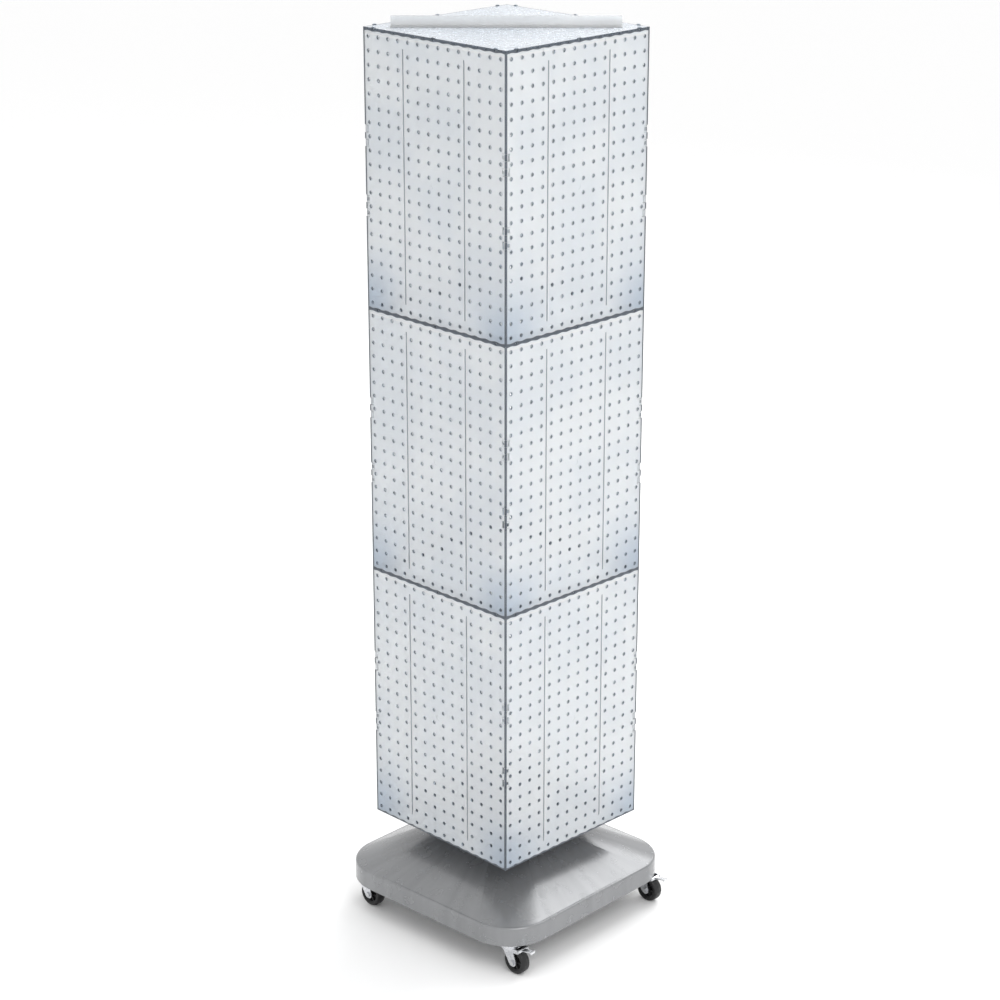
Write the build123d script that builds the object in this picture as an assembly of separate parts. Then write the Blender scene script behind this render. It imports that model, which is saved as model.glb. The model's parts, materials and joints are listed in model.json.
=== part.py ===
"""Revolving pegboard display tower on a wheeled base.

The tower is three tiers of clipped-together pegboard panels. It turns on a flat ball turntable
that is screwed to the hub of a moulded base, and the base rolls on four swivel casters.
Millimetres, +Z up, origin on the floor under the middle of the base. -Y is the front.
"""
from build123d import *
from math import cos, radians, sin
import os

# ---- pegboard panels ----
hole_pitch = 25.4        # spacing of the peg holes both ways
hole_columns = 14        # peg holes across one panel
hole_rows = 20           # peg holes up one panel
peg_hole_r = 3.175       # radius of a peg hole
tier_count = 3           # panels stacked up the tower
panel_t = 2.6            # thickness of a panel
mitre_gap = 0.2          # gap left by each panel along a mitred corner
rib_columns = (4, 10)    # pitches from the panel's left edge to its two long grooves
groove_half = 1.5        # half the width of a long groove
groove_depth = 1.0       # depth of a long groove
groove_end = 25.4        # how far a long groove stops from the panel's ends
gate_r = 6.0             # round moulding mark at the panel's centre
gate_depth = 0.5         # depth of the moulding mark

# ---- corner knuckles that clip one panel to the next ----
knuckle_rows = (7, 8, 12, 13)   # pitches up the panel to its knuckles
knuckle_r = 3.2                 # outer radius of the hook that wraps the corner
hook_wall = 1.7                 # thickness of the hook
hook_half = 5.8                 # half the height of a hook
hook_arm = 2.4                  # height of each of the two arms that carry a hook
hook_sweep = 240                # degrees that a hook wraps round its bar
notch_half = 7.0                # half the height of the corner notch round a knuckle
slot_w = 3.0                    # width of the open slot beside a hook
knuckle_clear = 0.3             # gap between a hook and the bar inside it
bar_boss = 4.0                  # height of the block that holds each end of a bar
bar_boss_w = 3.6                # width of that block

# ---- edge lugs and tabs that stack the tiers ----
lug_columns = (1, 7, 13)  # pitches from the panel's left edge to its lugs
lug_r = 5.0               # outer radius of a lug
lug_hole_r = 2.0          # hole through a lug
tab_half = 4.0            # half the length of a locating tab
tab_h = 1.4               # height of a locating tab
tab_t = 1.6               # thickness of a locating tab
stack_clear = 0.3         # gap round the lugs and tabs
tick_columns = (4.5, 10.5)  # pitches to the small vertical ejector ribs under the top edge
tick_half = 0.9           # half the width of a rib
tick_len = 11.0           # length of a rib
tick_depth = 0.7          # depth of a rib

# ---- flat plates between the tiers ----
plate_t = 2.4             # thickness of the plates under, between and over the tiers
divider_rim = 30.0        # width of the rim of a divider plate
divider_corner_r = 12.0   # inside corners of a divider plate
recess_len = 24.0         # moulded recess in the top plate
recess_w = 5.0
recess_depth = 1.0
recess_offset = 32.0      # from the plate's centre towards the front right corner

# ---- sign holder on the top plate ----
sign_len = 406.4          # length of the channel
sign_h = 19.0             # height of its walls
sign_wall = 2.0           # thickness of its walls and floor
sign_gap = 3.4            # width of the slot for a sign
sign_flange = 9.0         # foot standing out each side of the walls
sign_rivet_x = 150.0      # from the middle of the channel to a rivet
rivet_r = 2.0
rivet_head_r = 4.0
rivet_head_h = 1.6

# ---- moulded base ----
base_half = 235.0         # half the side of the rounded square
base_corner_r = 90.0      # plan radius of its corners
skirt_bottom_z = 60.0     # underside of the skirt over the floor
skirt_h = 38.0            # height of the skirt
skirt_round = 5.0         # rounding of the skirt's upper edge
base_wall = 4.0           # wall of the moulding
hub_half = 85.0           # half the width across the flats of the raised hub
hub_flat_half = 41.5      # half the length of each of the hub's four side edges
roof_rise = 75.0          # rise from the skirt's edge to the hub
collar_r = 74.0           # round collar on the hub
collar_h = 11.0           # height of the collar
collar_round = 2.0
base_turn = 2.2           # degrees that the tower stands turned from the base
caster_offset = 193.0     # caster axes from the middle, along X and along Y
socket_boss_r = 13.0      # boss round each caster socket
stiffener_t = 4.0         # ribs between a boss and the skirt

# ---- turntable ----
turn_half = 51.0          # half the side of a turntable plate
turn_corner_r = 8.0
turn_plate_t = 2.0
turn_bore_r = 28.0
turn_screw_xy = 43.0      # screws from the middle, along X and along Y
turn_h = 12.0             # total height of the turntable
race_r = 40.0             # pitch radius of the balls
race_half = 4.5           # half the width of a race
race_clear = 0.4          # gap from a race to the cage
ball_r = 3.0
ball_count = 16
ball_clear = 0.05
cage_half_t = 1.0
cage_half_w = 4.2
screw_r = 2.3
screw_len = 13.0
screw_head_r = 4.4
screw_head_h = 2.2
screw_slot_w = 1.2
screw_boss_r = 6.5

# ---- casters ----
wheel_r = 25.0
wheel_w = 20.0
tyre_t = 7.0              # depth of the tyre on the hub
tyre_round = 4.5
wheel_hub_w = 16.0
hub_lip = 2.0             # lip round the dish in each face of the hub
hub_web = 4.0             # web left between the two dishes
axle_r = 3.0
axle_head_r = 5.2
axle_head_h = 3.2
axle_end = 1.0            # thread showing past the nut
fork_trail = 16.0         # axle behind the swivel axis
fork_gap = 1.2            # from the wheel to a fork leg
fork_t = 2.2              # thickness of the pressed steel fork
crown_r = 20.0
crown_z = 2 * wheel_r + 9.0  # top of the fork's crown
crown_flange = 7.0        # depth of the rim turned down round the crown
leg_top_half = 14.0       # half the length of a leg where it leaves the crown
leg_end_r = 8.0           # rounding of a leg round the axle
stem_r = 5.0
stem_len = 32.0           # stem above the swivel
stem_head_r = 8.5         # riveted head under the crown
stem_head_h = 2.4
raceway_r = 16.0          # fixed upper washer of the swivel
raceway_t = 2.0
socket_wall = 2.0         # steel sleeve that grips the stem
run_clear = 0.06          # radial clearance of every turning fit
side_clear = 0.3          # gap along the axis of a turning fit
seat_clear = 0.03         # radial gap round pins, screws and sleeves that don't turn

# ---- foot brakes ----
brake_x = fork_trail + 13.0  # brake pin behind the swivel axis
brake_z = 2 * wheel_r + 1.0  # brake pin over the floor
brake_pin_r = 2.0
brake_pin_head = 1.0      # height of its heads, and how far they stand out round it
brake_barrel_r = 3.3
brake_cam_r = 3.95        # nose that meets the tyre when the pedal is down
brake_cam_angle = 268.0   # direction of the nose with the pedal up
pedal_len = 28.0
pedal_half_w = 10.6       # half the length of the barrel on the pin
pedal_tab_half = 6.0      # half the width of the tab under the foot
pedal_t = 2.0
pedal_rise = 12.0         # degrees that the pedal slopes up when it is off
pedal_lip = 3.0           # turned-down tip

# ---- worked-out sizes ----
tower_width = hole_pitch * hole_columns
tower_half = tower_width / 2
tier_height = hole_pitch * hole_rows
rim_z = skirt_bottom_z + skirt_h
hub_z = rim_z + roof_rise
collar_z = hub_z + collar_h
tower_z = collar_z + turn_h
top_z = tower_z + tier_count * tier_height + plate_t
ball_z = collar_z + turn_h / 2
tier_names = ("lower", "middle", "upper")
side_names = ("front", "right", "back", "left")
corner_names = ("front_right", "back_right", "back_left", "front_left")


def save(name, shapes, place=Location()):
    """Write one sub-part, a solid or a list of separate solids, standing at its place."""
    solids = [place * shape for shape in (shapes if isinstance(shapes, list) else [shapes])]
    shape = Compound(solids) if len(solids) > 1 else solids[0]
    export_step(shape, os.path.join("parts", name + ".step"))
    print(name, len(shape.solids()), "solid(s), volume", round(shape.volume))


def joined(shapes):
    """Join touching or overlapping solids into one piece."""
    first, *rest = shapes
    return first.fuse(*rest).clean() if rest else first


def block(x0, x1, y0, y1, z0, z1):
    """A box between two corners."""
    return Pos((x0 + x1) / 2, (y0 + y1) / 2, (z0 + z1) / 2) * Box(x1 - x0, y1 - y0, z1 - z0)


def drum(radius, z0, z1, x=0.0, y=0.0):
    """A vertical cylinder."""
    return Pos(x, y, (z0 + z1) / 2) * Cylinder(radius, z1 - z0)


def crossbar(radius, y0, y1, x, z):
    """A cylinder along Y."""
    return Pos(x, (y0 + y1) / 2, z) * Rot(90, 0, 0) * Cylinder(radius, y1 - y0)


def outline_face(*points):
    """A filled outline that faces up, whichever way round its points run."""
    ends = points[1:] + points[:1]
    area = sum(x0 * y1 - x1 * y0 for (x0, y0), (x1, y1) in zip(points, ends))
    ordered = points if area > 0 else points[::-1]
    return make_face(Polyline(*ordered, close=True))


def around(shape, quarter):
    """Turn a shape about the tower's axis by quarter turns."""
    return Rot(0, 0, 90 * quarter) * shape


# ---------------------------------------------------------------- panels
def column_x(pitches):
    """Place across a panel, counted in pitches from its left edge."""
    return pitches * hole_pitch - tower_half


def knuckle_places(upper):
    """Heights of the upper or lower pair of knuckles."""
    middle = hole_rows / 2
    return [row * hole_pitch for row in knuckle_rows if (row > middle) == upper]


def panel_outline():
    """The flat panel, with its peg holes, corner notches and edge notches."""
    middle_z = (tier_height + plate_t) / 2
    face = Pos(0, middle_z) * Rectangle(tower_width - 2 * mitre_gap, tier_height - plate_t)
    holes = [
        Pos(column_x(i + 0.5), (j + 0.5) * hole_pitch) * Circle(peg_hole_r)
        for i in range(hole_columns)
        for j in range(hole_rows)
    ]
    notch_w = 2 * knuckle_r + slot_w
    notches = [
        Pos(side * (tower_half - notch_w / 2), row * hole_pitch)
        * Rectangle(notch_w, 2 * notch_half)
        for side in (-1, 1)
        for row in knuckle_rows
    ]
    tab_notches = [
        Pos(column_x(i), level) * Rectangle(2 * (tab_half + stack_clear), 2 * (tab_h + stack_clear))
        for i in range(1, hole_columns)
        if i not in lug_columns
        for level in (plate_t, tier_height)
    ]
    lug_sockets = [
        Pos(column_x(i), 0) * Circle(lug_r + stack_clear)
        for i in lug_columns
    ]
    lugs = [Pos(column_x(i), tier_height) * Circle(lug_r) for i in lug_columns]
    lug_holes = [Pos(column_x(i), tier_height) * Circle(lug_hole_r) for i in lug_columns]
    face = face - notches - tab_notches - lug_sockets
    return (face + lugs) - holes - lug_holes


def mitre_wedge(side):
    """The sliver cut from a vertical edge so that two panels meet at 45 degrees."""
    edge = tower_half - mitre_gap
    wedge = outline_face(
        (side * edge, -tower_half),
        (side * (edge - panel_t), -tower_half + panel_t),
        (side * (tower_half + 1), -tower_half + panel_t),
        (side * (tower_half + 1), -tower_half),
    )
    return extrude(wedge, tier_height + lug_r)


def mirrored(shapes, side):
    """The shapes as they are on the right edge, or their mirror image on the left."""
    return shapes if side > 0 else [mirror(shape, Plane.YZ) for shape in shapes]


def knuckle_hook(side, z):
    """A hook at the end of a panel that wraps the next panel's bar."""
    cx, cy = tower_half - knuckle_r, -tower_half + knuckle_r
    reach = 2 * knuckle_r
    mouth_start = radians(hook_sweep - 90)
    mouth = outline_face(
        (0, 0),
        (reach * cos(mouth_start), reach * sin(mouth_start)),
        (-reach, -reach),
        (0, -reach),
    )
    ring = Circle(knuckle_r) - Circle(knuckle_r - hook_wall) - mouth
    hook = Pos(cx, cy, z - hook_half) * extrude(ring, 2 * hook_half)
    slot_x = cx - knuckle_r - slot_w
    arms = [
        block(slot_x, cx, -tower_half, -tower_half + hook_wall, low, low + hook_arm)
        for low in (z - hook_half, z + hook_half - hook_arm)
    ]
    return mirrored([hook, *arms], side)


def knuckle_bar(side, z):
    """The upright bar that the next panel's hook wraps, with its two end blocks."""
    cx, cy = tower_half - knuckle_r, -tower_half + knuckle_r
    bar_r = knuckle_r - hook_wall - knuckle_clear
    bar = drum(bar_r, z - notch_half, z + notch_half, cx, cy)
    x1 = tower_half - panel_t - knuckle_clear
    y0, y1 = -tower_half + panel_t / 2, cy + bar_r
    bosses = [
        block(x1 - bar_boss_w, x1, y0, y1, z + notch_half, z + notch_half + bar_boss),
        block(x1 - bar_boss_w, x1, y0, y1, z - notch_half - bar_boss, z - notch_half),
    ]
    return mirrored([bar, *bosses], side)


def pegboard_panel(flipped):
    """One panel standing at the front of a tier, its bottom plate at z = 0."""
    plane = Plane((0, -tower_half + panel_t, 0), x_dir=(1, 0, 0), z_dir=(0, -1, 0))
    panel = extrude(plane * panel_outline(), panel_t)
    panel = panel - mitre_wedge(1) - mitre_wedge(-1)
    cuts = [
        block(column_x(c) - groove_half, column_x(c) + groove_half,
              -tower_half, -tower_half + groove_depth, groove_end, tier_height - groove_end)
        for c in rib_columns
    ]
    cuts.append(crossbar(gate_r, -tower_half, -tower_half + gate_depth, 0, tier_height / 2))
    ticks = [hole_columns - c for c in tick_columns] if flipped else tick_columns
    cuts += [
        block(column_x(c) - tick_half, column_x(c) + tick_half, -tower_half,
              -tower_half + tick_depth, tier_height - tab_h - tick_len, tier_height - 2 * tab_h)
        for c in ticks
    ]
    panel = panel - cuts
    knuckles = []
    for z in knuckle_places(upper=True):
        knuckles += knuckle_hook(1, z) + knuckle_bar(-1, z)
    for z in knuckle_places(upper=False):
        knuckles += knuckle_hook(-1, z) + knuckle_bar(1, z)
    return joined([panel, *knuckles])


# ---------------------------------------------------------------- flat plates
def tier_plate(lugs_below, tabs_below, tabs_above):
    """A square plate flush with the panels, notched for their lugs."""
    outline = Rectangle(tower_width, tower_width)
    if lugs_below:
        lug_notch = lug_r + stack_clear
        for quarter in range(4):
            for c in lug_columns:
                notch = Pos(column_x(c), -tower_half + panel_t / 2) * Rectangle(
                    2 * lug_notch, panel_t + 2 * stack_clear)
                outline = outline - Rot(0, 0, 90 * quarter) * notch
    plate = extrude(outline, plate_t)
    tabs = []
    for i in range(1, hole_columns):
        if i in lug_columns:
            continue
        x = column_x(i)
        spans = []
        if tabs_below:
            spans.append((-tab_h, 0))
        if tabs_above:
            spans.append((plate_t, plate_t + tab_h))
        for z0, z1 in spans:
            tab = block(x - tab_half, x + tab_half, -tower_half, -tower_half + tab_t, z0, z1)
            tabs += [around(tab, quarter) for quarter in range(4)]
    return plate, tabs


def top_plate():
    """The closed plate over the upper tier, with a moulded recess and two rivet holes."""
    plate, tabs = tier_plate(lugs_below=True, tabs_below=True, tabs_above=False)
    plate = joined([plate, *tabs])
    recess = Pos(recess_offset, 0) * Rectangle(recess_w, recess_len)
    recess = Pos(0, 0, plate_t - recess_depth) * extrude(Rot(0, 0, -45) * recess, recess_depth)
    holes = [
        drum(rivet_r + seat_clear, 0, plate_t, side * sign_rivet_x * cos(radians(45)),
             side * sign_rivet_x * sin(radians(45)))
        for side in (-1, 1)
    ]
    return plate - recess - holes


def divider_plate():
    """An open plate between two tiers."""
    plate, tabs = tier_plate(lugs_below=True, tabs_below=True, tabs_above=True)
    side = tower_width - 2 * divider_rim
    opening = extrude(RectangleRounded(side, side, divider_corner_r), plate_t)
    return joined([plate, *tabs]) - opening


def floor_plate():
    """The closed plate under the lower tier, with bosses for the turntable's screws."""
    plate, tabs = tier_plate(lugs_below=False, tabs_below=False, tabs_above=True)
    lug_y = -tower_half + (panel_t - tab_t) / 2
    pins = [
        crossbar(lug_r, lug_y, lug_y + tab_t, column_x(c), 0)
        & block(column_x(c) - lug_r, column_x(c) + lug_r, lug_y, lug_y + tab_t, 0, lug_r)
        for c in lug_columns
    ]
    pins = [around(pin, quarter) for pin in pins for quarter in range(4)]
    boss_z = screw_len
    spots = screw_spots()
    bosses = [drum(screw_boss_r, 0, boss_z, x, y) for x, y in spots]
    holes = [drum(screw_r + seat_clear, 0, screw_len - turn_plate_t, x, y) for x, y in spots]
    return joined([plate, *tabs, *pins, *bosses]) - holes


# ---------------------------------------------------------------- sign holder
def on_diagonal(shape):
    """Lay a shape made along X on the tower's left to right diagonal."""
    return Pos(0, 0, top_z) * Rot(0, 0, 45) * shape


def sign_holder():
    """A clear channel that holds a sign on edge over the tower."""
    half = sign_len / 2
    inner = sign_gap / 2
    outer = inner + sign_wall
    foot = block(-half, half, -outer - sign_flange, outer + sign_flange, 0, sign_wall)
    walls = [
        block(-half, half, inner, outer, 0, sign_h),
        block(-half, half, -outer, -inner, 0, sign_h),
    ]
    channel = joined([foot, *walls])
    holes = [drum(rivet_r + seat_clear, 0, sign_wall, side * sign_rivet_x, 0) for side in (-1, 1)]
    return on_diagonal(channel - holes)


def sign_rivets():
    """Two push rivets through the channel and the top plate."""
    rivets = []
    for side in (-1, 1):
        x = side * sign_rivet_x
        shank = drum(rivet_r, -plate_t, sign_wall, x, 0)
        head = drum(sign_gap / 2 - stack_clear / 2, sign_wall, sign_wall + rivet_head_h, x, 0)
        tail = drum(rivet_head_r, -plate_t - rivet_head_h, -plate_t, x, 0)
        rivets.append(on_diagonal(joined([shank, head, tail])))
    return rivets


# ---------------------------------------------------------------- base
def rim_outline(half, corner):
    """The rounded square of the base."""
    return RectangleRounded(2 * half, 2 * half, corner)


def hub_outline(half, flat):
    """The octagon of the hub, drawn from the front side counter-clockwise."""
    points = []
    for quarter in range(4):
        turn = Rot(0, 0, 90 * quarter)
        for x in (-flat, flat):
            p = turn * Pos(x, -half)
            points.append((p.position.X, p.position.Y))
    return make_face(Polyline(*points, close=True))


def roof(half, corner, low_z, hub, flat, high_z):
    """The hipped top: four flat sides and four fans that start round the corners."""
    low = Pos(0, 0, low_z) * rim_outline(half, corner)
    high = Pos(0, 0, high_z) * hub_outline(hub, flat)
    return loft([low.face(), high.face()], ruled=True)


def caster_spots():
    """Plan positions of the casters, in the order of corner_names."""
    return [(caster_offset, -caster_offset), (caster_offset, caster_offset),
            (-caster_offset, caster_offset), (-caster_offset, -caster_offset)]


def screw_spots():
    """Plan positions of the turntable's screws."""
    return [(x, y) for x in (-turn_screw_xy, turn_screw_xy) for y in (-turn_screw_xy, turn_screw_xy)]


def base_shell():
    """The one-piece moulded base: skirt, hipped top, hub and the bosses inside."""
    slope = roof_rise / (base_half - hub_half)
    skirt = Pos(0, 0, skirt_bottom_z) * extrude(rim_outline(base_half, base_corner_r), skirt_h)
    upper_edges = skirt.edges().group_by(Axis.Z)[-1]
    skirt = fillet(upper_edges, skirt_round)
    eased = base_half - skirt_round
    top = roof(eased, base_corner_r - skirt_round, rim_z, hub_half, hub_flat_half, hub_z)
    collar = drum(collar_r, hub_z, collar_z)
    collar = fillet(collar.edges().group_by(Axis.Z)[-1], collar_round)
    outside = joined([skirt, top, collar])
    in_half = base_half - base_wall
    in_corner = base_corner_r - base_wall
    drop = base_wall * (1 + slope / 2)
    in_rim_z = rim_z - drop
    hollow = Pos(0, 0, skirt_bottom_z) * extrude(
        rim_outline(in_half, in_corner), in_rim_z - skirt_bottom_z)
    under_roof = roof(in_half, in_corner, in_rim_z, hub_half, hub_flat_half, hub_z - drop)
    under_hub = drum(collar_r - 2 * base_wall, rim_z, collar_z - base_wall)
    shell = outside - hollow - under_roof - under_hub
    inside = []
    for x, y in caster_spots():
        inside.append(drum(socket_boss_r, skirt_bottom_z + raceway_t, collar_z, x, y))
        sx, sy = (1 if x > 0 else -1), (1 if y > 0 else -1)
        x0, x1 = sorted((x, sx * (base_half - base_wall / 2)))
        y0, y1 = sorted((y, sy * (base_half - base_wall / 2)))
        inside.append(block(x0, x1, y - stiffener_t / 2, y + stiffener_t / 2,
                            rim_z - skirt_h / 2, collar_z))
        inside.append(block(x - stiffener_t / 2, x + stiffener_t / 2, y0, y1,
                            rim_z - skirt_h / 2, collar_z))
    inside += [drum(screw_boss_r, collar_z - screw_len - base_wall, collar_z - base_wall / 2, x, y)
               for x, y in screw_spots()]
    kept = [piece & outside for piece in inside]
    shell = joined([shell, *kept])
    socket_r = stem_r + socket_wall + seat_clear
    sockets = [drum(socket_r, skirt_bottom_z, skirt_bottom_z + raceway_t + stem_len, x, y)
               for x, y in caster_spots()]
    screw_holes = [drum(screw_r + seat_clear, collar_z - screw_len + turn_plate_t, collar_z, x, y)
                   for x, y in screw_spots()]
    return shell - sockets - screw_holes


def stem_sockets():
    """Steel sleeves in the base's four bosses."""
    low = skirt_bottom_z + raceway_t
    sleeves = [
        drum(stem_r + socket_wall, low, low + stem_len, x, y)
        - drum(stem_r + seat_clear, low, low + stem_len, x, y)
        for x, y in caster_spots()
    ]
    return sleeves


# ---------------------------------------------------------------- turntable
def turntable_half():
    """One pressed plate of the turntable, race upwards, its back at z = 0."""
    side = 2 * turn_half
    plate = extrude(RectangleRounded(side, side, turn_corner_r), turn_plate_t)
    race_top = turn_h / 2 - cage_half_t - race_clear
    ring = drum(race_r + race_half, turn_plate_t, race_top) - drum(
        race_r - race_half, turn_plate_t, race_top)
    groove = Pos(0, 0, turn_h / 2) * Torus(race_r, ball_r + ball_clear)
    holes = [drum(screw_r + seat_clear, 0, turn_plate_t, x, y) for x, y in screw_spots()]
    return joined([plate, ring]) - groove - drum(turn_bore_r, 0, turn_plate_t) - holes


def turntable_lower_plate():
    """The plate screwed to the base."""
    return Pos(0, 0, collar_z) * turntable_half()


def turntable_upper_plate():
    """The plate screwed under the tower's floor."""
    return Pos(0, 0, collar_z + turn_h) * Rot(180, 0, 0) * turntable_half()


def ball_places():
    """Centres of the turntable's balls."""
    step = 360 / ball_count
    return [(race_r * cos(radians(i * step)), race_r * sin(radians(i * step)))
            for i in range(ball_count)]


def turntable_balls():
    """The balls of the turntable."""
    return [Pos(x, y, ball_z) * Sphere(ball_r) for x, y in ball_places()]


def ball_cage():
    """The ring that spaces the balls."""
    ring = drum(race_r + cage_half_w, ball_z - cage_half_t, ball_z + cage_half_t) - drum(
        race_r - cage_half_w, ball_z - cage_half_t, ball_z + cage_half_t)
    pockets = [drum(ball_r + ball_clear, ball_z - cage_half_t, ball_z + cage_half_t, x, y)
               for x, y in ball_places()]
    return ring - pockets


def pan_screw():
    """A slotted pan-head screw pointing down, the underside of its head at z = 0."""
    shank = drum(screw_r, -screw_len, 0)
    head = drum(screw_head_r, 0, screw_head_h)
    head = fillet(head.edges().group_by(Axis.Z)[-1], screw_head_h / 3)
    slot = block(-screw_head_r, screw_head_r, -screw_slot_w / 2, screw_slot_w / 2,
                 screw_head_h / 2, screw_head_h)
    return joined([shank, head]) - slot


def base_screws():
    """Screws from the lower turntable plate into the hub."""
    z = collar_z + turn_plate_t
    return [Pos(x, y, z) * pan_screw() for x, y in screw_spots()]


def floor_screws():
    """Screws from the upper turntable plate into the tower's floor."""
    z = tower_z - turn_plate_t
    return [Pos(x, y, z) * Rot(180, 0, 0) * pan_screw() for x, y in screw_spots()]


# ---------------------------------------------------------------- casters
def fork_leg(y0, y1, braked):
    """One side of the fork, from the crown back to the axle."""
    web = outline_face(
        (-leg_top_half, crown_z - fork_t),
        (leg_top_half, crown_z - fork_t),
        (fork_trail + leg_end_r, wheel_r + leg_end_r / 2),
        (fork_trail, wheel_r - leg_end_r),
        (fork_trail - leg_end_r, wheel_r - leg_end_r / 2),
    )
    side = web + Pos(fork_trail, wheel_r) * Circle(leg_end_r)
    if braked:
        ear = outline_face(
            (0, crown_z - fork_t),
            (brake_x, brake_z + brake_barrel_r),
            (brake_x + brake_barrel_r, brake_z),
            (brake_x, brake_z - brake_barrel_r),
            (0, brake_z - 2 * brake_barrel_r),
        )
        side = side + ear + Pos(brake_x, brake_z) * Circle(brake_barrel_r)
        side = side - Pos(brake_x, brake_z) * Circle(brake_pin_r + seat_clear)
    side = side - Pos(fork_trail, wheel_r) * Circle(axle_r + seat_clear)
    plane = Plane((0, y1, 0), x_dir=(1, 0, 0), z_dir=(0, -1, 0))
    return extrude(plane * side, y1 - y0)


def caster_fork(braked):
    """The pressed steel fork that swivels under the base."""
    crown = drum(crown_r, crown_z - crown_flange, crown_z)
    crown = fillet(crown.edges().group_by(Axis.Z)[-1], fork_t)
    crown = crown - drum(crown_r - fork_t, crown_z - crown_flange, crown_z - fork_t)
    inner = wheel_w / 2 + fork_gap
    legs = [fork_leg(inner, inner + fork_t, braked), fork_leg(-inner - fork_t, -inner, braked)]
    fork = joined([crown, *legs])
    wheel_room = crossbar(wheel_r + fork_gap, -inner, inner, fork_trail, wheel_r)
    bore = drum(stem_r + run_clear, crown_z - crown_flange, crown_z)
    return fork - wheel_room - bore


def caster_stem():
    """The fixed stem with its upper washer and the riveted head that carries the fork."""
    washer_z = crown_z + side_clear
    stem = drum(stem_r, crown_z - fork_t - side_clear - stem_head_h,
                skirt_bottom_z + raceway_t + stem_len)
    washer = drum(raceway_r, washer_z, skirt_bottom_z + raceway_t)
    head_top = crown_z - fork_t - side_clear
    head = drum(stem_head_r, head_top - stem_head_h, head_top)
    return joined([stem, washer, head])


def caster_tyre():
    """The black tyre."""
    ring = Pos(fork_trail, 0, wheel_r) * Rot(90, 0, 0) * Cylinder(wheel_r, wheel_w)
    ring = fillet(ring.edges(), tyre_round)
    return ring - crossbar(wheel_r - tyre_t, -wheel_w / 2, wheel_w / 2, fork_trail, wheel_r)


def caster_hub():
    """The wheel's hub, dished on both faces, with a boss that runs on the axle."""
    rim_r = wheel_r - tyre_t
    half = wheel_hub_w / 2
    inner = wheel_w / 2 + fork_gap - side_clear
    rim = crossbar(rim_r, -half, half, fork_trail, wheel_r)
    dish = half - hub_web / 2
    dishes = [
        crossbar(rim_r - hub_lip, half - dish, half, fork_trail, wheel_r),
        crossbar(rim_r - hub_lip, -half, -half + dish, fork_trail, wheel_r),
    ]
    boss = crossbar(2 * axle_r, -inner, inner, fork_trail, wheel_r)
    bore = crossbar(axle_r + run_clear, -inner, inner, fork_trail, wheel_r)
    return joined([rim - dishes, boss]) - bore


def caster_axle():
    """The axle bolt with its hexagon head and nut."""
    outer = wheel_w / 2 + fork_gap + fork_t
    shank = crossbar(axle_r, -outer, outer + axle_head_h + axle_end, fork_trail, wheel_r)
    hexagon = RegularPolygon(axle_head_r, 6)
    plane = Plane((fork_trail, -outer, wheel_r), x_dir=(1, 0, 0), z_dir=(0, -1, 0))
    head = extrude(plane * hexagon, axle_head_h)
    plane = Plane((fork_trail, outer + axle_head_h, wheel_r), x_dir=(1, 0, 0), z_dir=(0, -1, 0))
    nut = extrude(plane * hexagon, axle_head_h)
    return joined([shank, head, nut])


def brake_pedal():
    """The foot pedal that turns on its pin and presses a nose on the tyre."""
    half, tab = pedal_half_w, pedal_tab_half
    barrel = crossbar(brake_barrel_r, -half, half, 0, 0)
    nose = Rot(0, -brake_cam_angle, 0) * block(
        0, brake_cam_r, -half / 2, half / 2, -pedal_t / 2, pedal_t / 2)
    plate = Rot(0, -pedal_rise, 0) * block(0, pedal_len, -tab, tab, 0, pedal_t)
    lip_x = pedal_len - pedal_t
    lip = Rot(0, -pedal_rise, 0) * block(lip_x, pedal_len, -tab, tab, -pedal_lip, 0)
    pedal = joined([barrel, nose, plate, lip])
    pedal = pedal - crossbar(brake_pin_r + run_clear, -half, half, 0, 0)
    return Pos(brake_x, 0, brake_z) * pedal


def brake_pin():
    """The pin across the fork that the pedal turns on."""
    outer = wheel_w / 2 + fork_gap + fork_t
    pin = crossbar(brake_pin_r, -outer, outer, brake_x, brake_z)
    heads = [
        crossbar(brake_pin_r + brake_pin_head, -outer - brake_pin_head, -outer, brake_x, brake_z),
        crossbar(brake_pin_r + brake_pin_head, outer, outer + brake_pin_head, brake_x, brake_z),
    ]
    return joined([pin, *heads])


# ---------------------------------------------------------------- write everything
os.makedirs("parts", exist_ok=True)
plain_panel = pegboard_panel(flipped=False)
flipped_panel = pegboard_panel(flipped=True)
for tier, tier_name in enumerate(tier_names):
    place = Pos(0, 0, tower_z + tier * tier_height)
    for quarter, side_name in enumerate(side_names):
        panel = flipped_panel if quarter % 2 else plain_panel
        save("panel_" + tier_name + "_" + side_name, around(panel, quarter), place)
    if tier > 0:
        save("divider_" + tier_names[tier - 1], divider_plate(), place)
save("tower_floor", floor_plate(), Pos(0, 0, tower_z))
save("top_plate", top_plate(), Pos(0, 0, tower_z + tier_count * tier_height))
save("sign_holder", sign_holder())
save("sign_rivets", sign_rivets())
save("turntable_upper_plate", turntable_upper_plate())
save("floor_screws", floor_screws())
save("turntable_balls", turntable_balls())
save("ball_cage", ball_cage())

base_place = Rot(0, 0, base_turn)
save("turntable_lower_plate", turntable_lower_plate(), base_place)
save("base_screws", base_screws(), base_place)
save("base_shell", base_shell(), base_place)
save("stem_sockets", stem_sockets(), base_place)
for corner, (x, y) in zip(corner_names, caster_spots()):
    braked = x > 0
    place = base_place * Pos(x, y, 0)
    save("stem_" + corner, caster_stem(), place)
    save("fork_" + corner, caster_fork(braked), place)
    save("axle_" + corner, caster_axle(), place)
    save("wheel_hub_" + corner, caster_hub(), place)
    save("tyre_" + corner, caster_tyre(), place)
    if braked:
        save("brake_pedal_" + corner, brake_pedal(), place)
        save("brake_pin_" + corner, brake_pin(), place)
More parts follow.
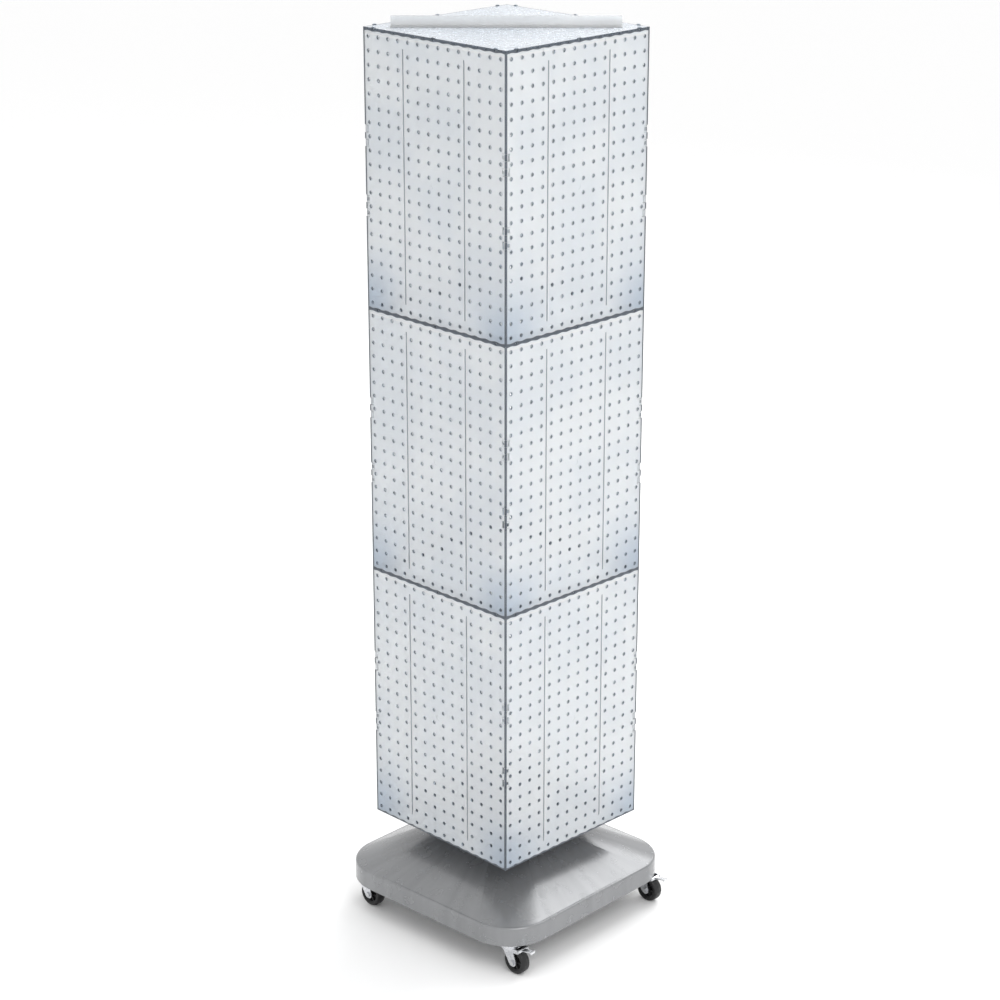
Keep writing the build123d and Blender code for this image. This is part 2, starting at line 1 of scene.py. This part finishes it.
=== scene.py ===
# %% [markdown]
# # A revolving pegboard tower
#
# Three tiers of clear, pebbled styrene panels are clipped together into a square tower. It turns
# on a moulded base with four small casters. The measured parts arrive as a fixed frame, and this
# lesson gives them their finishes and models the moulded and pressed pieces that need softer
# shapes than a machined solid has.

# %% Load the frame
import bmesh
import bpy
import json
from math import cos, pi, radians, sin
from mathutils import Matrix, Vector


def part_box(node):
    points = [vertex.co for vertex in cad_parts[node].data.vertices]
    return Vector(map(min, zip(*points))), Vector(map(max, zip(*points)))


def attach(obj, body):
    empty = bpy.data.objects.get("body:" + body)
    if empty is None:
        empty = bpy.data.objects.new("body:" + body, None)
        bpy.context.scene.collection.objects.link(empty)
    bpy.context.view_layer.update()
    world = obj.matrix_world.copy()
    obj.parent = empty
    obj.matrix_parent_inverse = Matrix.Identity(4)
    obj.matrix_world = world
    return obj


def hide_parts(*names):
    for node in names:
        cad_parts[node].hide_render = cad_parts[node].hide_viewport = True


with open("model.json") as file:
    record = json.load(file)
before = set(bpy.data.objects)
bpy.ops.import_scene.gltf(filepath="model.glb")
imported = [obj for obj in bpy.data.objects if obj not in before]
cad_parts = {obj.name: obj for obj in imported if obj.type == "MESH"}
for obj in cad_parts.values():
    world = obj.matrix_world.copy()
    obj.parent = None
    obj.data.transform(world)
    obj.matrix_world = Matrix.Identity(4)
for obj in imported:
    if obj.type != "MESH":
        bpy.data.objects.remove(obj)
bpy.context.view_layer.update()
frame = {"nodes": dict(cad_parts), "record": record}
nodes = frame["nodes"]
MM = 0.001

# %% [markdown]
# ## Where everything is
#
# The tower's faces and tiers are read from the frame's own boxes, and fourteen peg holes fill a
# panel's width, so a finish that depends on a place, such as the painted shade along a panel's cut
# edge, follows the part. The two grooves are three pitches each side of a panel's middle.

# %% Tower sizes from the frame
HOLE_COLUMNS = 14
tower_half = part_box("top_plate")[1].x
tower_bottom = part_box("tower_floor")[0].z
tier_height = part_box("divider_middle")[0].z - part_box("divider_lower")[0].z
hole_pitch = 2 * tower_half / HOLE_COLUMNS
groove_place = 3 * hole_pitch
print("tower half", round(tower_half, 4), "tier", round(tier_height, 4))

# %% [markdown]
# ## Small helpers for finishes
#
# A finish is a chain of shader nodes. These helpers keep each recipe short: one starts a blank
# material, one adds a node and joins its inputs, and the rest are the steps that come up again
# and again, such as arithmetic, a smooth ramp, a mix of colours, noise and a bump.

# %% Shader helpers
def blank(name):
    """A new material with an empty tree and its output."""
    material = bpy.data.materials.new(name)
    material.use_nodes = True
    tree = material.node_tree
    tree.nodes.clear()
    return material, tree, tree.nodes.new("ShaderNodeOutputMaterial")


def add(tree, kind, inputs=None, **settings):
    """One shader node, its settings, and its inputs as values or as other nodes' sockets."""
    node = tree.nodes.new(kind)
    for key, value in settings.items():
        setattr(node, key, value)
    for key, value in (inputs or {}).items():
        socket = node.inputs[key]
        if isinstance(value, bpy.types.NodeSocket):
            tree.links.new(value, socket)
        else:
            socket.default_value = value
    return node


def place(tree):
    """The point on the piece, in metres, in the tower's own frame."""
    return add(tree, "ShaderNodeTexCoord").outputs["Object"]


def sums(tree, operation, a, b=0.0, c=0.0):
    """One step of arithmetic on shader values."""
    return add(tree, "ShaderNodeMath", {0: a, 1: b, 2: c}, operation=operation).outputs[0]


def ramp(tree, value, low, high, start=0.0, end=1.0):
    """A value that runs smoothly from start to end as the input runs from low to high."""
    return add(tree, "ShaderNodeMapRange", {"Value": value, "From Min": low, "From Max": high,
                                            "To Min": start, "To Max": end},
               interpolation_type="SMOOTHSTEP").outputs["Result"]


def blend_colour(tree, amount, first, second):
    """A mix of two colours."""
    mix = add(tree, "ShaderNodeMix", data_type="RGBA")
    for key, value in ((0, amount), (6, first), (7, second)):
        if isinstance(value, bpy.types.NodeSocket):
            tree.links.new(value, mix.inputs[key])
        else:
            mix.inputs[key].default_value = value
    return mix.outputs[2]


def noise(tree, point, scale, detail=2.0):
    """Even noise at a scale in cells per metre."""
    return add(tree, "ShaderNodeTexNoise", {"Vector": point, "Scale": scale, "Detail": detail}
               ).outputs["Fac"]


def bumped(tree, height, strength, distance):
    """A bump that leans the surface by a height in metres."""
    return add(tree, "ShaderNodeBump", {"Height": height, "Strength": strength,
                                        "Distance": distance}).outputs["Normal"]


def surface(tree, output, **inputs):
    """The main shader, with its inputs named as on the node but with low lines for spaces."""
    named = {key.replace("_", " "): value for key, value in inputs.items()}
    shader = add(tree, "ShaderNodeBsdfPrincipled", named)
    tree.links.new(shader.outputs[0], output.inputs[0])
    return shader


# %% [markdown]
# ## Clear pebbled styrene
#
# The panels are clear plastic with an orange-peel skin, so they look milky: light goes through
# them but no picture does. Where the sheet ends, at a corner, a tier joint, a groove or a peg
# hole, one looks along the plastic instead of through it, and the edge looks dark with a bright
# line beside it. Here that dark edge is painted shade, with a soft ring of it round each hole,
# and the bright line is a painted highlight. A blue-grey painted shade low in each tier near the
# corner stands in for the plate seen through the sheet. Each of those places is found by
# arithmetic on the point's own position, so the lines follow the holes and turn with the tower.
# Image maps would need a file and would blur.

# %% Distances over a panel
def panel_distances(tree, point):
    """Distances from a corner, a tier joint and a hole's middle, and the heights that go along."""
    parts = add(tree, "ShaderNodeSeparateXYZ", {0: point})
    x = sums(tree, "ABSOLUTE", parts.outputs[0])
    y = sums(tree, "ABSOLUTE", parts.outputs[1])
    across = sums(tree, "MINIMUM", x, y)
    up = sums(tree, "SUBTRACT", parts.outputs[2], tower_bottom)
    from_corner = sums(tree, "SUBTRACT", tower_half, across)
    from_joint = sums(tree, "PINGPONG", up, tier_height / 2)
    in_tier = sums(tree, "FLOORED_MODULO", up, tier_height)
    from_groove = sums(tree, "ABSOLUTE", sums(tree, "SUBTRACT", across, groove_place))
    half = hole_pitch / 2
    du = sums(tree, "SUBTRACT", half, sums(tree, "PINGPONG", across, half))
    dz = sums(tree, "SUBTRACT", half, sums(tree, "PINGPONG", up, half))
    squares = sums(tree, "ADD", sums(tree, "MULTIPLY", du, du), sums(tree, "MULTIPLY", dz, dz))
    from_hole = sums(tree, "SQRT", squares)
    return from_corner, from_joint, in_tier, from_groove, from_hole, across


def most(tree, first, *others):
    """The largest of several masks."""
    for other in others:
        first = sums(tree, "MAXIMUM", first, other)
    return first


# %% Panel finish
def pebbled_styrene():
    material, tree, output = blank("pebbled_clear_styrene")
    point = place(tree)
    from_corner, from_joint, in_tier, from_groove, from_hole, across = panel_distances(tree, point)
    scallop = sums(tree, "PINGPONG", across, hole_pitch / 2)
    reach = ramp(tree, scallop, 0.0, hole_pitch / 2, 0.0044, 0.0028)
    # Painted shade: dark corners, tier joints, grooves and hole walls stand in for the dark edge
    # seen along clear plastic.
    joint = ramp(tree, sums(tree, "DIVIDE", from_joint, reach), 0.75, 1.0, 1.0, 0.0)
    corner = ramp(tree, from_corner, 0.0026, 0.0038, 1.0, 0.0)
    inside_ends = ramp(tree, from_joint, 0.0250, 0.0258)
    groove = sums(tree, "MULTIPLY", ramp(tree, from_groove, 0.0012, 0.0018, 1.0, 0.0), inside_ends)
    wall = ramp(tree, from_hole, 0.0032, 0.0036, 1.0, 0.0)
    hole_shade_ring = ramp(tree, from_hole, 0.0034, 0.0056, 0.35, 0.0)
    # Painted shade: a blue-grey haze low in each tier near the corner stands in for the plate and
    # the floor's shade seen through the sheet.
    corner_shade_mask = sums(tree, "MULTIPLY", ramp(tree, in_tier, 0.0, 0.13, 1.0, 0.0),
                        ramp(tree, from_corner, 0.0, 0.11, 1.0, 0.15))
    cloud = ramp(tree, noise(tree, point, 9.0), 0.35, 0.65)
    clear = blend_colour(tree, cloud, (0.93, 0.955, 0.97, 1), (0.87, 0.905, 0.935, 1))
    corner_shaded = blend_colour(tree, sums(tree, "MULTIPLY", corner_shade_mask, 0.75), clear,
                        (0.48, 0.58, 0.70, 1))
    glint_low = ramp(tree, in_tier, tier_height - 0.0105, tier_height - 0.0085)
    glint_high = ramp(tree, in_tier, tier_height - 0.0070, tier_height - 0.0060, 1.0, 0.0)
    glint_side = sums(tree, "MULTIPLY", ramp(tree, from_groove, 0.0018, 0.0022),
                      ramp(tree, from_groove, 0.0032, 0.0040, 1.0, 0.0))
    glint = most(tree, sums(tree, "MULTIPLY", glint_low, glint_high),
                 sums(tree, "MULTIPLY", glint_side, inside_ends))
    lit = blend_colour(tree, sums(tree, "MULTIPLY", glint, 0.8), corner_shaded, (1, 1, 1, 1))
    # Painted shade: a soft dark ring round each hole.
    ringed = blend_colour(tree, hole_shade_ring, lit, (0.40, 0.46, 0.53, 1))
    # Painted shade in the grooves and hole walls.
    soft_dark = blend_colour(tree, most(tree, sums(tree, "MULTIPLY", groove, 0.8),
                                        sums(tree, "MULTIPLY", wall, 0.92)),
                             ringed, (0.24, 0.28, 0.33, 1))
    # Painted shade along the corners and tier joints.
    colour = blend_colour(tree, most(tree, corner, joint), soft_dark, (0.11, 0.135, 0.17, 1))
    pebble = noise(tree, point, 900.0, 1.0)
    rubbed = ramp(tree, noise(tree, point, 42.0, 3.0), 0.4, 0.7, 0.28, 0.40)
    surface(tree, output, Base_Color=colour, Roughness=rubbed, IOR=1.5,
            Transmission_Weight=0.55, Normal=bumped(tree, pebble, 0.4, 0.0004))
    return material


# %% Plate and channel finishes
def plate_styrene():
    """The flat plates: the same plastic, thicker and a little blue, with painted shade along its
    cut edge.
    """
    material, tree, output = blank("blue_grey_styrene")
    point = place(tree)
    parts = add(tree, "ShaderNodeSeparateXYZ", {0: point})
    widest = sums(tree, "MAXIMUM", sums(tree, "ABSOLUTE", parts.outputs[0]),
                  sums(tree, "ABSOLUTE", parts.outputs[1]))
    # Painted shade: a dark band along the cut edge stands in for the dark edge seen along clear
    # plastic.
    edge = ramp(tree, sums(tree, "SUBTRACT", tower_half, widest), 0.0012, 0.0026, 1.0, 0.0)
    cloud = ramp(tree, noise(tree, point, 7.0, 3.0), 0.35, 0.65)
    body = blend_colour(tree, cloud, (0.80, 0.845, 0.90, 1), (0.72, 0.775, 0.84, 1))
    colour = blend_colour(tree, edge, body, (0.09, 0.11, 0.14, 1))
    scuffs = ramp(tree, noise(tree, point, 60.0, 4.0), 0.45, 0.7, 0.26, 0.38)
    surface(tree, output, Base_Color=colour, Roughness=scuffs, IOR=1.5, Transmission_Weight=0.4,
            Normal=bumped(tree, noise(tree, point, 500.0, 1.0), 0.03, 0.0002))
    return material


def channel_styrene():
    """The sign channel: water-clear extruded plastic with faint drawing lines along it."""
    material, tree, output = blank("water_clear_channel")
    point = place(tree)
    turned = add(tree, "ShaderNodeMapping", {"Vector": point, "Rotation": (0, 0, -pi / 4),
                                             "Scale": (2.0, 900.0, 900.0)}).outputs[0]
    lines = noise(tree, turned, 1.0, 1.0)
    worn = ramp(tree, noise(tree, point, 80.0, 3.0), 0.4, 0.7, 0.08, 0.16)
    surface(tree, output, Base_Color=(0.97, 0.985, 1.0, 1), Roughness=worn, IOR=1.49,
            Transmission_Weight=0.6, Normal=bumped(tree, lines, 0.03, 0.0001))
    return material


# %% [markdown]
# ## Moulded plastic, rubber and metal
#
# The base is a silver-grey moulding with a soft gloss. Its plastic flowed out from the middle,
# which leaves faint streaks that run outwards, so the streak pattern is noise on the angle round
# the middle. Zinc plate has pale crystals, which are cells of a Voronoi pattern. Chrome is smooth
# with fine scratches, and rubber is dull with a dusty bloom.

# %% Moulded base
def moulded_silver():
    material, tree, output = blank("silver_grey_moulding")
    point = place(tree)
    parts = add(tree, "ShaderNodeSeparateXYZ", {0: point})
    angle = sums(tree, "ARCTAN2", parts.outputs[1], parts.outputs[0])
    streak = add(tree, "ShaderNodeTexNoise", {"W": sums(tree, "MULTIPLY", angle, 9.0), "Scale": 1.0,
                                              "Detail": 3.0}, noise_dimensions="1D").outputs["Fac"]
    cloud = noise(tree, point, 6.0, 3.0)
    tone = ramp(tree, sums(tree, "MULTIPLY_ADD", streak, 0.6, sums(tree, "MULTIPLY", cloud, 0.4)),
                0.35, 0.65)
    colour = blend_colour(tree, tone, (0.225, 0.23, 0.237, 1), (0.255, 0.26, 0.267, 1))
    scuff = ramp(tree, noise(tree, point, 35.0, 5.0), 0.45, 0.75, 0.25, 0.31)
    surface(tree, output, Base_Color=colour, Metallic=0.4, Roughness=scuff,
            Normal=bumped(tree, noise(tree, point, 700.0, 1.0), 0.08, 0.0002))
    return material


# %% Metals
def crystal_zinc(name, light, dark, roughness):
    """Zinc plate: pale crystals, duller where hands and shoes rub it."""
    material, tree, output = blank(name)
    point = place(tree)
    cells = add(tree, "ShaderNodeTexVoronoi", {"Vector": point, "Scale": 330.0}).outputs["Color"]
    grain = add(tree, "ShaderNodeSeparateColor", {0: cells}).outputs[0]
    colour = blend_colour(tree, grain, (*light, 1), (*dark, 1))
    dull = ramp(tree, noise(tree, point, 120.0, 4.0), 0.35, 0.7, roughness, roughness + 0.18)
    surface(tree, output, Base_Color=colour, Metallic=1.0, Roughness=dull,
            Normal=bumped(tree, noise(tree, point, 900.0, 2.0), 0.1, 0.0001))
    return material


def polished(name, colour, roughness, scratch):
    """Bright metal with fine scratches."""
    material, tree, output = blank(name)
    point = place(tree)
    long = add(tree, "ShaderNodeMapping", {"Vector": point, "Scale": (300.0, 2500.0, 900.0)}
               ).outputs[0]
    hair = noise(tree, long, 1.0, 2.0)
    worn = ramp(tree, noise(tree, point, 150.0, 3.0), 0.4, 0.7, roughness, roughness + 0.12)
    surface(tree, output, Base_Color=(*colour, 1), Metallic=1.0, Roughness=worn,
            Normal=bumped(tree, hair, scratch, 0.0001))
    return material


# %% Rubber and plain plastics
def matt(name, dark, light, rough_low, rough_high, grain, depth):
    """A dull moulded material whose tone and roughness drift a little."""
    material, tree, output = blank(name)
    point = place(tree)
    drift = ramp(tree, noise(tree, point, 70.0, 4.0), 0.35, 0.7)
    colour = blend_colour(tree, drift, (*dark, 1), (*light, 1))
    rough = ramp(tree, noise(tree, point, 180.0, 3.0), 0.35, 0.7, rough_low, rough_high)
    surface(tree, output, Base_Color=colour, Roughness=rough,
            Normal=bumped(tree, noise(tree, point, grain, 2.0), depth, 0.0002))
    return material


# %% Give every part its finish
finishes = {
    "clear_panel": pebbled_styrene(),
    "clear_plate": plate_styrene(),
    "clear_channel": channel_styrene(),
    "base_plastic": moulded_silver(),
    "turntable_zinc": crystal_zinc("turntable_zinc", (0.56, 0.57, 0.58), (0.42, 0.43, 0.45), 0.30),
    "zinc_steel": crystal_zinc("zinc_steel", (0.62, 0.63, 0.64), (0.50, 0.51, 0.53), 0.25),
    "ball_steel": polished("ball_steel", (0.68, 0.68, 0.69), 0.06, 0.03),
    "cage_nylon": matt("cage_nylon", (0.70, 0.70, 0.64), (0.80, 0.79, 0.73), 0.4, 0.6, 800.0, 0.1),
    "caster_steel": crystal_zinc("caster_steel", (0.70, 0.71, 0.73), (0.55, 0.56, 0.59), 0.22),
    "wheel_hub": matt("wheel_hub", (0.012, 0.012, 0.013), (0.024, 0.024, 0.026), 0.35, 0.55,
                      900.0, 0.15),
    "caster_tyre": matt("caster_tyre", (0.004, 0.004, 0.005), (0.012, 0.012, 0.013), 0.42, 0.62,
                        600.0, 0.3),
    "brake_chrome": polished("brake_chrome", (0.74, 0.75, 0.77), 0.12, 0.08),
}
slot_of = {s["node"]: s["material_slot"] for s in frame["record"]["subparts"]}
body_of = {n: body for body, members in frame["record"]["behaviour"]["bodies"].items()
           for n in members}
for name, node in nodes.items():
    node.data.materials.clear()
    node.data.materials.append(finishes[slot_of[name]])
print("finishes:", len(finishes), "on", len(nodes), "nodes")

# %% [markdown]
# ## Placing new pieces
#
# A new piece is modelled round its own origin, then its mesh is moved to where the machined part
# stands. It takes over that part's look and moves with the same body. The base stands turned a
# little from the tower, and its wheels with it.

# %% Placing helper
BASE_TURN = radians(2.2)


def middle(node):
    low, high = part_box(node)
    return (low + high) / 2


def piece_for(node, bm, spot, turn=BASE_TURN):
    """Finish a bmesh as the visible piece for one machined part."""
    bmesh.ops.recalc_face_normals(bm, faces=bm.faces[:])
    bmesh.ops.rotate(bm, cent=(0, 0, 0), matrix=Matrix.Rotation(turn, 3, "Z"), verts=bm.verts[:])
    bmesh.ops.translate(bm, vec=spot, verts=bm.verts[:])
    mesh = bpy.data.meshes.new("look_" + node)
    bm.to_mesh(mesh)
    bm.free()
    piece = bpy.data.objects.new("look_" + node, mesh)
    bpy.context.scene.collection.objects.link(piece)
    mesh.materials.append(finishes[slot_of[node]])
    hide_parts(node)
    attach(piece, body_of[node])
    return piece


def smooth(piece, degrees=35):
    """Shade smooth over gentle angles only."""
    mesh = piece.data
    mesh.polygons.foreach_set("use_smooth", [True] * len(mesh.polygons))
    mesh.set_sharp_from_angle(angle=radians(degrees))
    return piece


def turned_ring(points, steps):
    """A ring spun about the Y axis from the corners of its section, given as radius and y."""
    bm = bmesh.new()
    verts = [bm.verts.new((radius * MM, y * MM, 0)) for radius, y in points]
    section = bm.faces.new(verts)
    bmesh.ops.spin(bm, geom=section.edges[:], cent=(0, 0, 0), axis=(0, 1, 0), dvec=(0, 0, 0),
                   angle=2 * pi, steps=steps, use_merge=True, use_duplicate=False)
    loose = [f for f in bm.faces if len(f.verts) > 4]
    bmesh.ops.delete(bm, geom=loose, context="FACES_ONLY")
    bmesh.ops.remove_doubles(bm, verts=bm.verts[:], dist=1e-6)
    return bm


# %% [markdown]
# ## Wheels
#
# A caster wheel is a rubber tyre moulded on a hard hub. The tyre's section is drawn as half a
# dozen corners with a small ridge in the middle, where the two halves of its mould met, and spun
# into a ring. The hub is spun too, then gets ribs across the dish in each face.

# %% Tyres
tyre_section = [(18.0, -9.3), (19.2, -9.8), (21.4, -9.9), (23.2, -9.1), (24.4, -7.4),
                (24.85, -5.0), (24.95, -0.6), (25.0, -0.25), (25.0, 0.25), (24.95, 0.6),
                (24.85, 5.0), (24.4, 7.4), (23.2, 9.1), (21.4, 9.9), (19.2, 9.8), (18.0, 9.3)]
corners = [name.replace("tyre_", "") for name in nodes if name.startswith("tyre_")]
for corner in corners:
    tyre = turned_ring(tyre_section, 72)
    smooth(piece_for("tyre_" + corner, tyre, middle("tyre_" + corner)))
print("tyres:", len(corners))

# %% Wheel hubs
hub_section = [(3.06, -10.9), (5.6, -10.9), (6.0, -10.5), (6.3, -2.4), (15.6, -2.0), (16.0, -7.6),
               (16.4, -8.0), (17.98, -8.0), (17.98, 8.0), (16.4, 8.0), (16.0, 7.6), (15.6, 2.0),
               (6.3, 2.4), (6.0, 10.5), (5.6, 10.9), (3.06, 10.9)]


def hub_ribs(bm, count=6):
    """Ribs from the boss to the rim, in both faces."""
    for step in range(count):
        made = bmesh.ops.create_cube(bm, size=1.0)["verts"]
        bmesh.ops.scale(bm, vec=(11 * MM, 14.4 * MM, 1.6 * MM), verts=made)
        bmesh.ops.translate(bm, vec=(11 * MM, 0, 0), verts=made)
        bmesh.ops.rotate(bm, cent=(0, 0, 0), verts=made,
                         matrix=Matrix.Rotation(2 * pi * step / count, 3, "Y"))


for corner in corners:
    hub = turned_ring(hub_section, 60)
    hub_ribs(hub)
    smooth(piece_for("wheel_hub_" + corner, hub, middle("wheel_hub_" + corner)))
print("hubs:", len(corners))

# %% [markdown]
# ## Brake pedals
#
# The pedal is pressed from sheet: a tongue that the foot pushes down, rolled into a barrel round
# its pin, with a nose that meets the tyre. A cube is stretched to the tongue, its edges are
# eased with a bevel, and three grip ridges stand on it.

# %% Pedals
def stretched_block(bm, size, spot, ease):
    """An eased block, in millimetres."""
    made = bmesh.ops.create_cube(bm, size=1.0)["verts"]
    bmesh.ops.scale(bm, vec=[s * MM for s in size], verts=made)
    bmesh.ops.translate(bm, vec=[s * MM for s in spot], verts=made)
    edges = list({e for v in made for e in v.link_edges})
    rounded = bmesh.ops.bevel(bm, geom=edges, offset=ease * MM, offset_type="OFFSET", segments=2,
                              profile=0.5, affect="EDGES", material=-1)
    return list({v for f in rounded["faces"] for v in f.verts})


def pedal_mesh():
    bm = turned_ring([(2.08, -10.6), (3.0, -10.6), (3.3, -10.3), (3.3, 10.3), (3.0, 10.6),
                      (2.08, 10.6)], 32)
    nose = stretched_block(bm, (2.0, 10.6, 1.6), (2.9, 0, 0), 0.3)
    bmesh.ops.rotate(bm, cent=(0, 0, 0), verts=nose, matrix=Matrix.Rotation(radians(92), 3, "Y"))
    tongue = stretched_block(bm, (25.4, 12.0, 2.0), (15.2, 0, 1.0), 0.6)
    tip = stretched_block(bm, (2.0, 12.0, 4.6), (26.9, 0, -0.7), 0.6)
    ridges = [v for x in (17.0, 20.0, 23.0)
              for v in stretched_block(bm, (0.9, 9.0, 0.6), (x, 0, 2.0), 0.2)]
    bmesh.ops.rotate(bm, cent=(0, 0, 0), verts=tongue + tip + ridges,
                     matrix=Matrix.Rotation(radians(-12), 3, "Y"))
    return bm


pedals = [name for name in nodes if name.startswith("brake_pedal_")]
for name in pedals:
    pin = name.replace("pedal", "pin")
    smooth(piece_for(name, pedal_mesh(), middle(pin)))
print("pedals:", len(pedals))

# %% [markdown]
# ## Sign channel
#
# The channel is extruded, so it is drawn as one section, pushed along its length, and its long
# edges are eased: that is what catches the light on the real one. It lies on the tower's
# diagonal.

# %% Channel
def channel_mesh(length=406.4, height=19.0, wall=2.0, gap=3.4, foot=9.0):
    bm = bmesh.new()
    inner, outer = gap / 2, gap / 2 + wall
    half = [(inner, height), (outer, height), (outer, wall), (outer + foot, wall),
            (outer + foot, 0)]
    section = [(-y, z) for y, z in half[::-1]] + [(-inner, wall), (inner, wall)] + half
    verts = [bm.verts.new((-length / 2 * MM, y * MM, z * MM)) for y, z in section]
    face = bm.faces.new(verts)
    pushed = bmesh.ops.extrude_face_region(bm, geom=[face])["geom"]
    bmesh.ops.translate(bm, vec=(length * MM, 0, 0),
                        verts=[v for v in pushed if isinstance(v, bmesh.types.BMVert)])
    bmesh.ops.recalc_face_normals(bm, faces=bm.faces[:])
    bmesh.ops.bevel(bm, geom=bm.edges[:], offset=0.35 * MM, offset_type="OFFSET", segments=2,
                    profile=0.5, affect="EDGES", material=-1)
    return bm


sign_spot = Vector((0, 0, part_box("sign_holder")[0].z))
smooth(piece_for("sign_holder", channel_mesh(), sign_spot, turn=pi / 4))
print("channel at", round(sign_spot.z, 4))

# %% [markdown]
# ## Floor, light and camera
#
# The stand is on a white floor. The sky is an even white, one soft light stands behind to the
# right so that the base's right slope shines, and another in front fills the tower's right face.

# %% Floor
def studio_floor():
    bm = bmesh.new()
    bmesh.ops.create_grid(bm, x_segments=1, y_segments=1, size=14.0)
    mesh = bpy.data.meshes.new("studio_floor")
    bm.to_mesh(mesh)
    bm.free()
    floor = bpy.data.objects.new("studio_floor", mesh)
    bpy.context.scene.collection.objects.link(floor)
    material, tree, output = blank("studio_white")
    surface(tree, output, Base_Color=(0.985, 0.985, 0.985, 1), Roughness=0.8)
    mesh.materials.append(material)


studio_floor()

# %% Lights
sky = bpy.data.worlds.new("studio")
bpy.context.scene.world = sky
sky.use_nodes = True
sky.node_tree.nodes["Background"].inputs[0].default_value = (1, 1, 1, 1)
sky.node_tree.nodes["Background"].inputs[1].default_value = 1.0
bpy.context.scene.view_settings.view_transform = "Standard"


def soft_light(name, location, target, size, power):
    light = bpy.data.lights.new(name, "AREA")
    light.size = size
    light.energy = power
    lamp = bpy.data.objects.new(name, light)
    lamp.location = location
    lamp.rotation_euler = (Vector(target) - Vector(location)).to_track_quat("-Z", "Y").to_euler()
    bpy.context.scene.collection.objects.link(lamp)


soft_light("softbox_front", (3.0, -1.0, 3.2), (0, 0, 0.8), 2.0, 40)
soft_light("softbox_behind", (-0.4, 3.0, 3.4), (0.15, 0, 0.1), 3.0, 95)
print("lights: 2")


# %% Camera
def studio_camera():
    """A camera round to the front right corner, looking down at 20 degrees."""
    azimuth, elevation, distance = radians(45.263), radians(19.788), 4.7447
    back = Vector((sin(azimuth) * cos(elevation), -cos(azimuth) * cos(elevation), sin(elevation)))
    across = Vector((cos(azimuth), sin(azimuth), 0))
    aim = across * -0.0112 + Vector((0, 0, 0.8399))
    camera = bpy.data.cameras.new("camera")
    camera.sensor_width = 36
    camera.lens = 36 * 2.5351
    seat = bpy.data.objects.new("camera", camera)
    seat.location = aim + back * distance
    seat.rotation_euler = (-back).to_track_quat("-Z", "Y").to_euler()
    bpy.context.scene.collection.objects.link(seat)
    bpy.context.scene.camera = seat


studio_camera()
